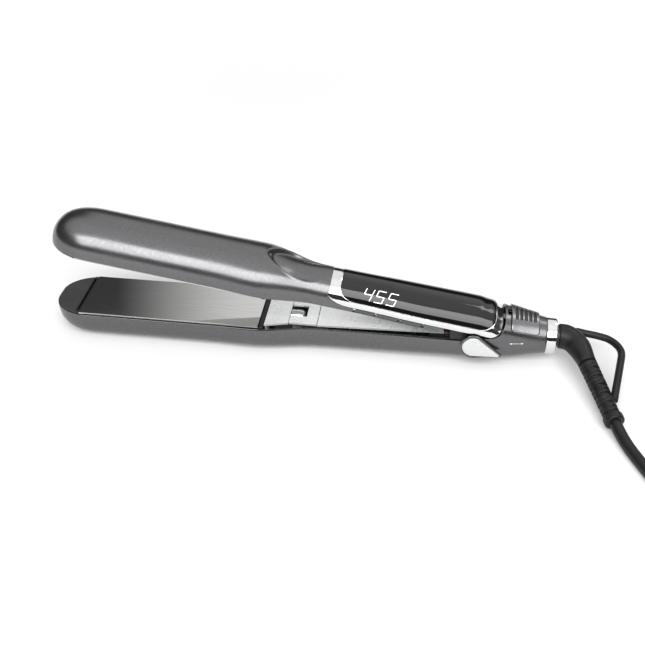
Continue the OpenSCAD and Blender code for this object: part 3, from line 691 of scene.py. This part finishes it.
def make_barrel():
    """The round rear end behind the hinge, with the lock's slot in its top."""
    slot_phi, slot_x = 8, (119.4, 127)
    front_rows, slot_rows, rear_rows = 14, 9, 15
    half = np.concatenate([[slot_phi], steps(11, 86, 2.5), steps(88, 177, 2.97)])
    phis = np.concatenate([-half[::-1], half, [180]])
    start = barrel_front(phis)[None, :]
    edges = (np.maximum(start + 0.6, slot_x[0]), slot_x[1], RING_START)
    a = start + (edges[0] - start) * np.linspace(0, 1, front_rows)[:, None]
    b = edges[0] + (edges[1] - edges[0]) * np.linspace(0, 1, slot_rows)[1:, None]
    c = edges[1] + (edges[2] - edges[1]) * np.linspace(0, 1, rear_rows)[1:, None]
    xs = np.concatenate([a, b, np.broadcast_to(c, (len(c), len(phis)))])
    outer, inner = lower_pt(xs, phis[None, :]), lower_pt(xs, phis[None, :], WALL)
    keep = np.ones((len(xs) - 1, len(phis)), bool)
    gap = list(phis).index(-slot_phi)
    keep[front_rows - 1:front_rows + slot_rows - 2, gap] = False
    barrel = skin("rear_barrel_moulding", outer, inner, LOWER_GREY, keep, wrap=True, bevel=0.25)
    put(barrel, "lower_arm", "metallic_grey", "rear_barrel")


def make_bezel():
    """Chrome frame: the collar, the side strips beside the panel and the band at the heel."""
    panel_gap, heel_band = 0.4, 1.5
    straight_end = 100           # rows behind this lean back with the heel
    side_cols = 11
    front, rear = corner_rows()
    a = np.linspace(0, math.pi / 2, 9)
    collar = COLLAR_X + (LENS_X - COLLAR_X) * (1 - np.cos(a[:-1]))
    xs = np.concatenate([collar, front, steps(32, straight_end, 2), rear])
    band = np.linspace(0, 1, 9)[1:]
    across = np.linspace(0, 1, side_cols)
    arch = np.linspace(-1, 1, 61)

    def phis_at(x):
        b = lens_phi(x) + panel_gap
        side = b + (frame_edge(x) - b) * across
        return np.concatenate([-side[::-1], b * arch[1:-1], side])

    rows_out, rows_in = [], []
    for x in xs:
        row = phis_at(x)
        back = np.minimum(PANEL_END, heel_end(row) - heel_band)
        lean = (back - straight_end) / (PANEL_END - straight_end)
        at = np.where(x > straight_end, straight_end + (x - straight_end) * lean, x)
        rows_out.append(upper_pt(at, row))
        rows_in.append(upper_pt(at, row, WALL))
    last = phis_at(PANEL_END)
    start = np.minimum(PANEL_END, heel_end(last) - heel_band)
    for u in band:
        at = start + (heel_end(last) - start) * u
        rows_out.append(upper_pt(at, last))
        rows_in.append(upper_pt(at, last, WALL))
    outer, inner = np.array(rows_out), np.array(rows_in)
    rows, cols = outer.shape[:2]
    keep = np.zeros((rows - 1, cols - 1), bool)
    keep[:, :side_cols - 1] = True
    keep[:, 1 - side_cols:] = True
    ring = int(np.searchsorted(xs, LENS_X - 1e-6))
    keep[:ring, :] = True
    keep[len(xs) - 1:, :] = True
    frame_piece = skin("chrome_bezel", opened(outer), opened(inner), CHROME, keep, bevel=0.1)
    put(frame_piece, "upper_arm", "chrome", "bezel")


def make_panel():
    """Glossy display panel, crowned a little over the frame round it."""
    front, rear = corner_rows()
    xs = np.concatenate([[LENS_X + 0.2], front[front > LENS_X + 0.25], steps(32, 100, 2),
                         rear[rear < PANEL_END - 0.25], [PANEL_END - 0.2]])
    u = np.linspace(-1, 1, 61)
    phis = u[None, :] * lens_phi(xs)[:, None]
    crown, thickness = 0.05, 1.3
    outer = upper_pt(xs[:, None], phis, -crown)
    inner = upper_pt(xs[:, None], phis, thickness)
    panel = skin("display_panel", opened(outer), opened(inner), PANEL, bevel=0.3)
    put(panel, "upper_arm", "black_gloss", "display_lens")


make_lower_shell()
make_upper_shell()
make_barrel()
make_bezel()
make_panel()

# ---------------------------------------------------------------- sleeve, tail, loop and plug

RELIEF_PATH = ((149.5, 0, 14.45), (153, 0, 14.45), (156.4, -1.7, 14.1), (159.2, -4.8, 13.5),
               (161.3, -9, 13), (162.9, -14, 12.4), (164.5, -19.6, 11.7))
TAIL_ENDS = (RELIEF_PATH[-1], (175.9, -60.5, 5.7))
LOOP_PATH = ((159.5, 7.6, 13.6), (165, 6.4, 13.4), (172, 5, 13.2), (177.5, 3.2, 13), (181.5, -0.4, 12.8),
             (183.8, -5, 12.6), (184.2, -10, 12.3), (182.6, -18, 11.8), (180, -30, 10.6),
             (177.8, -40, 9.4), (176.4, -46.8, 8.4))


def make_sleeve():
    """Bend sleeve that leaves the swivel and turns down to the ribbed tail."""
    girth = ((0, 7.2), (0.14, 7.2), (0.45, 6.7), (1, 5.2))
    sleeve = sweep("relief_sleeve", smooth_path(RELIEF_PATH, 0.8),
                   lambda share, angles: np.full(len(angles), float(prof(girth, share))), 44, RUBBER,
                   round_ends=0.5)
    put(sleeve, "cord_swivel", "rubber_black", "strain_relief")


def tail_radius(share, angles):
    """Six groups of ribs: a groove all round between them and two short notches in each, then a collar."""
    ribs_from, ribs_to, groups, collar_from = 0.02, 0.88, 6, 0.9
    groove_depth, notch_depth, first_notch = 1.2, 0.8, 0.9
    if share > collar_from:
        u = (share - 0.95) / 0.05
        return np.full(len(angles), 4.9 + 0.5 * math.sqrt(max(0, 1 - u**4)))
    r = np.full(len(angles), 5.15 - 0.55 * share)
    if ribs_from < share < ribs_to:
        at = (share - ribs_from) / (ribs_to - ribs_from) * groups
        r -= groove_depth * ease(min(1, max(0, 1.25 - abs(at - round(at)) / 0.14)))
        notch = ease(min(1, max(0, 1 - abs(at % 1 - 0.5) / 0.13)))
        turn = math.pi / 2 if int(at) % 2 else 0
        wide = np.clip((np.abs(np.cos(angles - first_notch + turn)) - 0.35) / 0.2, 0, 1)
        r -= notch_depth * notch * ease(wide)
    return r


def make_tail():
    rows = 231
    a, b = (Vector(p) for p in TAIL_ENDS)
    path = [a.lerp(b, k / (rows - 1)) for k in range(rows)]
    put(sweep("ribbed_tail", path, tail_radius, 56, RUBBER, sharp=50), "cord_swivel", "rubber_black",
        "relief_tail")


def make_loop():
    loop = sweep("hanging_loop", smooth_path(LOOP_PATH, 0.8), 2.1, 24, RUBBER, round_ends=1.2)
    put(loop, "cord_swivel", "rubber_black", "hang_loop")


def make_plug():
    """Moulded two-pin plug: a tapered neck, shoulders and a grip with cross ribs."""
    at, turn = END_ROUTE[-1], math.radians(8)
    # along the plug: distance, half width, half height, squareness
    shape = [(0, 3.6, 3.6, 2), (0.4, 4, 4, 2), (4, 4.5, 4.5, 2), (8, 5, 5, 2), (10.5, 5.5, 5.3, 2.1),
             (12, 6.6, 5.8, 2.4), (13.5, 8.6, 6.2, 2.9), (15.5, 10, 6.5, 3.4)]
    first_rib, rib_pitch = 17, 2.6
    for k in range(5):
        s = first_rib + rib_pitch * k
        shape += [(s, 10.7, 6.6, 4), (s + 0.8, 10.75, 6.6, 4), (s + 1.1, 10.2, 6.5, 4),
                  (s + 1.8, 10.2, 6.5, 4), (s + 2.1, 10.8, 6.6, 4)]
    shape += [(31, 11, 6.6, 4.4), (34.6, 11, 6.6, 4.6), (35.5, 10.7, 6.3, 4.4), (36, 10, 5.6, 4)]
    sides = 64
    t = np.arange(sides) * 2 * math.pi / sides
    rings = []
    for s, w, h, p in shape:
        u, z = w * spow(np.cos(t), 2 / p), h * spow(np.sin(t), 2 / p)
        rings.append(np.stack([at[0] + u * math.cos(turn) - s * math.sin(turn),
                               at[1] + u * math.sin(turn) + s * math.cos(turn), at[2] + z], -1))
    put(loft("mains_plug_grip", rings, RUBBER, sharp=45), "lower_arm", "rubber_black", "plug_body")


make_sleeve()
make_tail()
make_loop()
make_plug()

# ---------------------------------------------------------------- pivot covers, lock, keys, ring

def teardrop(grow, y, count=96):
    """Outline of the pivot cover at height y on the arm's side: a big round and a small one at its tip."""
    round_r, tip_r = 6.2, 0.7
    t = np.arange(count) * 2 * math.pi / count
    n = np.stack([np.cos(t), np.sin(t)], -1)
    middle = np.array([PIVOT[0] - 1.8, PIVOT[1] + 0.6])
    tip = np.array([PIVOT[0] + 12.5 + grow, PIVOT[1] - 3.9])
    on_round = n @ middle + round_r + grow >= n @ tip + tip_r
    p = np.where(on_round[:, None], middle + n * (round_r + grow), tip + n * tip_r)
    return np.stack([p[:, 0], np.full(count, y), p[:, 1]], -1)


def make_pivot_covers():
    """On each side a grey rim round a silver cap, as rings of outset and height from the middle."""
    for side, word in ((-1, "near"), (1, "far")):
        rim = [(1.3, 16.95), (1.3, 17.7), (1.22, 17.88), (1.05, 17.95), (0.6, 17.95), (0.42, 17.88),
               (0.34, 17.7), (0.34, 17.2)]
        cap = [(0, 17.2), (0, 17.8), (-0.12, 18.02), (-0.4, 18.15), (-1, 18.24), (-2.4, 18.32),
               (-4, 18.36)]
        put(loft("pivot_rim_" + word, [teardrop(g, side * y) for g, y in rim], GREY), "lower_arm",
            "metallic_grey", *(["pivot_rims"] if side < 0 else []))
        put(loft("pivot_cap_" + word, [teardrop(g, side * y) for g, y in cap], CAP_SILVER, sharp=60),
            "lower_arm", "silver_cover", *(["pivot_caps"] if side < 0 else []))


def make_lock_pad():
    """The lock's pad on the barrel's top, with five finger slots."""
    x0, x1, reach = 121.4, 137.4, 58
    height, base, slot_depth = 1.3, 0.45, 0.7
    first_slot, slot_pitch, slot_reach, slot_r = 124.3, 2.6, 20, 0.86
    mm_per_degree = 0.23
    us, vs = np.linspace(0, 1, 97), np.linspace(-1, 1, 121)
    v, u = np.meshgrid(vs, us)
    edge = np.clip((np.abs(v) - 0.84) / 0.16, 0, 1)
    inset = 2.8 * (1 - np.sqrt(1 - edge**2))
    x = x0 + inset + (x1 - x0 - 2 * inset) * u
    phi = v * reach
    mark = np.zeros_like(x)
    for k in range(5):
        beyond = np.maximum(np.abs(phi) - slot_reach, 0) * 0.2
        away = np.hypot(x - (first_slot + slot_pitch * k), beyond)
        mark = np.maximum(mark, ease(np.clip((slot_r - away) / 0.35, 0, 1)))
    rim = np.minimum(np.minimum(x - x0 - inset, x1 - inset - x), (reach - np.abs(phi)) * mm_per_degree)
    crown = height - 0.3 * (1 - np.sqrt(1 - np.clip(1 - rim / 0.6, 0, 1) ** 2))
    outer = lower_pt(x, phi, -(crown - slot_depth * mark))
    inner = lower_pt(x, phi, -base)
    # the pad's lighter grey is painted light, for the light that falls on the barrel's top
    pad = skin("lock_pad", outer, inner, PAINTED_LIGHT_GREY, sharp=70)
    # the slots' floors are painted black: painted shade in the recesses
    pad.data.materials.append(BLACK)
    slot_shade = np.concatenate([mark.ravel(), np.zeros(mark.size)])
    for poly in pad.data.polygons:
        if min(slot_shade[v] for v in poly.vertices) > 0.35:
            poly.material_index = 1
    put(pad, "lock", "metallic_grey", "lock_slider")


def on_barrel(x, z, lift):
    """Point on the near side of the barrel at the given x and z."""
    phis = np.linspace(-150, -20, 131)
    phi = np.interp(z, lower_pt(x, phis)[:, 2], phis)
    return lower_pt(x, phi, -lift)


def make_lock_mark():
    """A plain double arrow that shows which way the lock slides."""
    z0, lift, depth = 16.5, 0.05, 0.1
    half, dash = 0.13, 0.725
    shapes = [((121, 0), (122.6, 0.62), (122.2, 0), (122.6, -0.62)),
              ((129.2, 0), (127.6, 0.62), (128, 0), (127.6, -0.62))]
    # the shaft is short pieces, so that it follows the barrel
    shapes += [((a, half), (a + dash, half), (a + dash, -half), (a, -half))
               for a in np.arange(122.2, 127.9, dash)]
    points, faces = [], []
    for shape in shapes:
        n, k = len(points), len(shape)
        points += [on_barrel(x, z0 + h, lift) for x, h in shape]
        points += [on_barrel(x, z0 + h, -depth) for x, h in shape]
        faces += [tuple(n + j for j in range(k)), tuple(n + k + j for j in range(k))]
        faces += [(n + j, n + (j + 1) % k, n + k + (j + 1) % k, n + k + j) for j in range(k)]
    put(piece("lock_arrow_mark", points, faces, MARK), "lower_arm", "silver_cover")


def make_keys():
    """Three flat keys with slanted ends in the side strip, and ribs between them in a lighter grey that is
    painted light.
    """
    names = (("power_key", "power_button"), ("temp_up_key", "temp_up_button"),
             ("temp_down_key", "temp_down_button"))
    low, high = -88.9, -83.4
    slant_len = 0.9
    phis = np.linspace(low, high, 11)

    def slanted(x0, x1, lift, depth):
        u = np.linspace(0, 1, 25)[:, None]
        slant = slant_len * (phis - low)[None, :] / (high - low)
        x = x0 + slant + (x1 - x0 - slant_len) * u
        return opened(upper_pt(x, phis[None, :], lift)), opened(upper_pt(x, phis[None, :], depth))

    for (body, node), x0 in zip(names, BUTTON_X):
        outer, inner = slanted(x0, x0 + BUTTON_LENGTH, 0.0, 1.5)
        put(skin(node + "_key", outer, inner, BUTTON, bevel=0.3), body, "button_grey", node)
    for n, x0 in enumerate(BUTTON_X[1:]):
        outer, inner = slanted(x0 - 1.6, x0 + 0.55, 0.25, 1.7)
        put(skin(f"key_divider_{n}", outer, inner, PAINTED_LIGHT_GREY, bevel=0.15), "upper_arm", "metallic_grey")


def make_end_ring():
    """Chrome collar at the barrel's end, its edges rounded."""
    length = RING_END - RING_START
    shape = [(0, 7.8), (0, 10.15), (0.12, 10.4), (0.35, 10.5), (length - 1, 10.5), (length - 0.55, 10.4),
             (length - 0.22, 10.15), (length - 0.05, 9.75), (length, 9.3), (length, 8.2),
             (length - 0.2, 7.8)]
    ring = lathe("end_collar", shape, 120, (RING_START, 0, SWIVEL_Z), CHROME)
    put(ring, "lower_arm", "chrome", "end_ring")


def make_digits():
    """Slanted seven-segment numerals, just proud of the panel."""
    width, stroke, mid, half = 4.9, 0.42, -43, 15.5
    thick, lean, rows = 1.7, 1.1, 9
    lit_up = ((0, 1, 1, 0, 0, 1, 1), (1, 0, 1, 1, 0, 1, 1), (1, 0, 1, 1, 0, 1, 1))
    low, high, gap = mid - half, mid + half, 0.6
    left, right = 0.35, width - 0.35
    # each segment: from x, from phi, to x, to phi
    segments = ((left, high - thick, right, high),
                (width - stroke, mid + gap, width, high - gap),
                (width - stroke, low + gap, width, mid - gap),
                (left, low, right, low + thick),
                (0, low + gap, stroke, mid - gap),
                (0, mid + gap, stroke, high - gap),
                (left, mid - thick / 2, right, mid + thick / 2))
    points, faces = [], []
    for x0, on in zip((34.2, 41.1, 48), lit_up):
        for (xa, fa, xb, fb), shown in zip(segments, on):
            if not shown:
                continue
            fs = np.linspace(fa, fb, rows)
            slant = lean * (fs - mid) / half
            corners = [(x0 + xa + s, f) for s, f in zip(slant, fs)]
            corners += [(x0 + xb + s, f) for s, f in zip(slant[::-1], fs[::-1])]
            n, k = len(points), len(corners)
            for depth in (-0.14, 0.02):
                points += [upper_pt(x, f, depth) for x, f in corners]
            for j in range(rows - 1):
                faces.append((n + j, n + j + 1, n + k - 2 - j, n + k - 1 - j))
                faces.append((n + k + j, n + 2 * k - 1 - j, n + 2 * k - 2 - j, n + k + j + 1))
            faces += [(n + j, n + (j + 1) % k, n + k + (j + 1) % k, n + k + j) for j in range(k)]
    digits = piece("display_numerals", opened(points), faces, DIGITS)
    put(digits, "upper_arm", "display_light", "display_digits")


def make_plate_walls():
    """Wall across each arm between the nose and the plate, its darker grey painted shade."""
    plate_gap, thickness, side_gap = 0.35, 2.6, 0.3
    x1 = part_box("lower_plate")[0].x / MM - plate_gap
    x0 = x1 - thickness
    half = float(lower_pt(x0, 95, WALL)[1]) - side_gap
    section = [(x0, 16.2), (x0 + 0.1, 17.9), (x0 + 0.35, 18.25), (x0 + 0.8, 18.3), (x1 - 0.4, 18.3),
               (x1 - 0.1, 18.15), (x1, 17.9), (x1, 16.2)]
    rings = np.array([[(x, y, z) for x, z in section] for y in np.linspace(-half, half, 13)])
    put(loft("lower_plate_wall", rings, PAINTED_SHADE_GREY), "lower_arm", "metallic_grey")
    rings[..., 2] = 2 * CONTACT_Z - rings[..., 2]
    put(loft("upper_plate_wall", opened(rings), PAINTED_SHADE_GREY), "upper_arm", "metallic_grey")


make_plate_walls()
make_pivot_covers()
make_lock_pad()
make_lock_mark()
make_keys()
make_end_ring()
make_digits()

# ---------------------------------------------------------------- carried-over CAD nodes

BEVEL_ANGLE = math.radians(40)

# material, width of the rounded edges, nodes
NODE_LOOKS = (
    (DARK, 0.3, ("lower_nose_cap", "upper_nose_cap", "display_module", "handle_frame", "ion_module")),
    (BLACK, 0.25, ("lower_carrier", "upper_carrier")),
    (TITANIUM, 0.22, ("lower_plate", "upper_plate")),
    (CERAMIC, 0.2, ("lower_heater", "upper_heater")),
    (SILICONE, 0.3, ("lower_cushions", "upper_cushions")),
    (BLACK, 0.3, ("lower_end_bar", "upper_end_bar", "swivel_journal")),
    (SILVER, 0.2, ("heat_shield_front", "heat_shield_middle", "heat_shield_rear", "upper_cover")),
    (CHROME, 0.6, ("stop_bumper",)),
    (STEEL, 0.12, ("shield_screws",)),
    # the brackets' darkened steel is painted shade
    (PAINTED_SHADE_STEEL, 0.15, ("lower_bracket", "upper_bracket")),
    (STEEL, 0.3, ("hinge_pin",)),
    (STEEL, 0.08, ("pin_clips", "lock_catch")),
    (STEEL, 0, ("torsion_spring",)),
    (BLACK, 0.2, ("swivel_socket",)),
    # the boards' green is darkened as painted shade
    (PAINTED_SHADE_BOARD, 0.1, ("power_board", "control_board")),
    (RED, 0.1, ("lead_wires",)),
    (STEEL, 0.1, ("lock_tongue",)),
    (RUBBER, 0.2, ("button_pad",)),
    (BRONZE, 0.1, ("hinge_bushes",)),
    (TIE, 0.2, ("cord_tie",)),
    (BRASS, 0.2, ("plug_blades",)),
)


def dress(node, material, bevel):
    """Gives a CAD node its material and rounds its edges by bevel."""
    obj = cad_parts[node]
    obj.data.materials.clear()
    obj.data.materials.append(material)
    if bevel:
        mod = obj.modifiers.new("edges", "BEVEL")
        mod.width = bevel * MM
        mod.segments = 2
        mod.limit_method = "ANGLE"
        mod.angle_limit = BEVEL_ANGLE


for look, edge, names in NODE_LOOKS:
    for node_name in names:
        dress(node_name, look, edge)

# ---------------------------------------------------------------- studio, finish


def area_light(name, place, aim, size, watts):
    data = bpy.data.lights.new(name, "AREA")
    data.shape = "RECTANGLE"
    data.size, data.size_y = size
    data.energy = watts
    obj = new_object(name, data)
    obj.location = place
    obj.rotation_mode = "QUATERNION"
    obj.rotation_quaternion = (Vector(aim) - Vector(place)).to_track_quat("-Z", "Y")


def make_floor():
    """Pale floor, in metres like all of the studio."""
    reach = 6
    mesh = bpy.data.meshes.new("floor")
    mesh.from_pydata([(-reach, -reach, 0), (reach, -reach, 0), (reach, reach, 0), (-reach, reach, 0)], [],
                     [(0, 1, 2, 3)])
    floor = new_object("floor", mesh)
    paint = Paint("pale_floor", (0.66, 0.66, 0.66), roughness=0.9)
    paint.tint(paint.noise(3, 2), (0.65, 0.65, 0.65), (0.67, 0.67, 0.67))
    # far from the object the floor glows like the background, so that no horizon shows
    away = paint.tree.nodes.new("ShaderNodeVectorMath")
    away.operation = "LENGTH"
    paint.link(paint.coords, away.inputs[0])
    fade = paint.tree.nodes.new("ShaderNodeMapRange")
    fade.interpolation_type = "SMOOTHSTEP"
    paint.set(fade, {"From Min": 0.25, "From Max": 1.6, "To Min": 0.12, "To Max": 1.0})
    paint.link(away.outputs["Value"], fade.inputs["Value"])
    paint.link(fade.outputs["Result"], paint.bsdf.inputs["Emission Strength"])
    paint.set(paint.bsdf, {"Emission Color": (1, 1, 1, 1)})
    floor.data.materials.append(paint.mat)


def make_world():
    """A dark horizon and a bright top for the reflections, plain white where the camera looks."""
    world = bpy.data.worlds.new("studio")
    bpy.context.scene.world = world
    world.use_nodes = True
    nodes, links = world.node_tree.nodes, world.node_tree.links
    back = nodes["Background"]
    coords = nodes.new("ShaderNodeTexCoord")
    split = nodes.new("ShaderNodeSeparateXYZ")
    links.new(coords.outputs["Generated"], split.inputs["Vector"])

    def math_node(operation, a, b):
        node = nodes.new("ShaderNodeMath")
        node.operation = operation
        for socket, value in zip(node.inputs, (a, b)):
            if isinstance(value, float):
                socket.default_value = value
            else:
                links.new(value, socket)
        return node.outputs["Value"]

    def between(axis, start, end):
        """0 to 1 as a direction's part along axis goes from start to end."""
        node = nodes.new("ShaderNodeMapRange")
        node.interpolation_type = "SMOOTHSTEP"
        node.inputs["From Min"].default_value = start
        node.inputs["From Max"].default_value = end
        links.new(split.outputs[axis], node.inputs["Value"])
        return node.outputs["Result"]

    ramp = nodes.new("ShaderNodeValToRGB")
    stops = ((0.0, 0.03), (0.3, 0.03), (0.57, 0.07), (0.72, 0.9), (1.0, 1.25))
    while len(ramp.color_ramp.elements) < len(stops):
        ramp.color_ramp.elements.new(0.5)
    for element, (at, level) in zip(ramp.color_ramp.elements, stops):
        element.position = at
        element.color = (level, level, level, 1)
    links.new(split.outputs["Z"], ramp.inputs["Fac"])
    # a bright wall behind, to the right of the tip's reflection
    wall = math_node("MULTIPLY", between("X", -0.35, -0.17), between("Y", 0.25, 0.5))
    wall = math_node("MULTIPLY", wall, between("Z", 0.38, 0.5))
    wall = math_node("MULTIPLY", wall, 1.08)
    sky = math_node("MAXIMUM", ramp.outputs["Color"], wall)
    path = nodes.new("ShaderNodeLightPath")
    pale = nodes.new("ShaderNodeMix")
    pale.data_type = "RGBA"
    # the mix node's sockets for colours: A, B and the result
    color_a, color_b, result = pale.inputs[6], pale.inputs[7], pale.outputs[2]
    links.new(path.outputs["Is Camera Ray"], pale.inputs["Factor"])
    links.new(sky, color_a)
    color_b.default_value = (1, 1, 1, 1)
    links.new(result, back.inputs["Color"])
    back.inputs["Strength"].default_value = 1.0


bpy.context.scene.view_settings.view_transform = "Standard"
make_floor()
make_world()
area_light("key_softbox", (0.1, -1.05, 1.05), (0, 0, 0.02), (2.0, 1.0), 35)
area_light("rear_strip", (0.9, 0.9, 1.5), (0, 0, 0), (0.5, 0.5), 3)
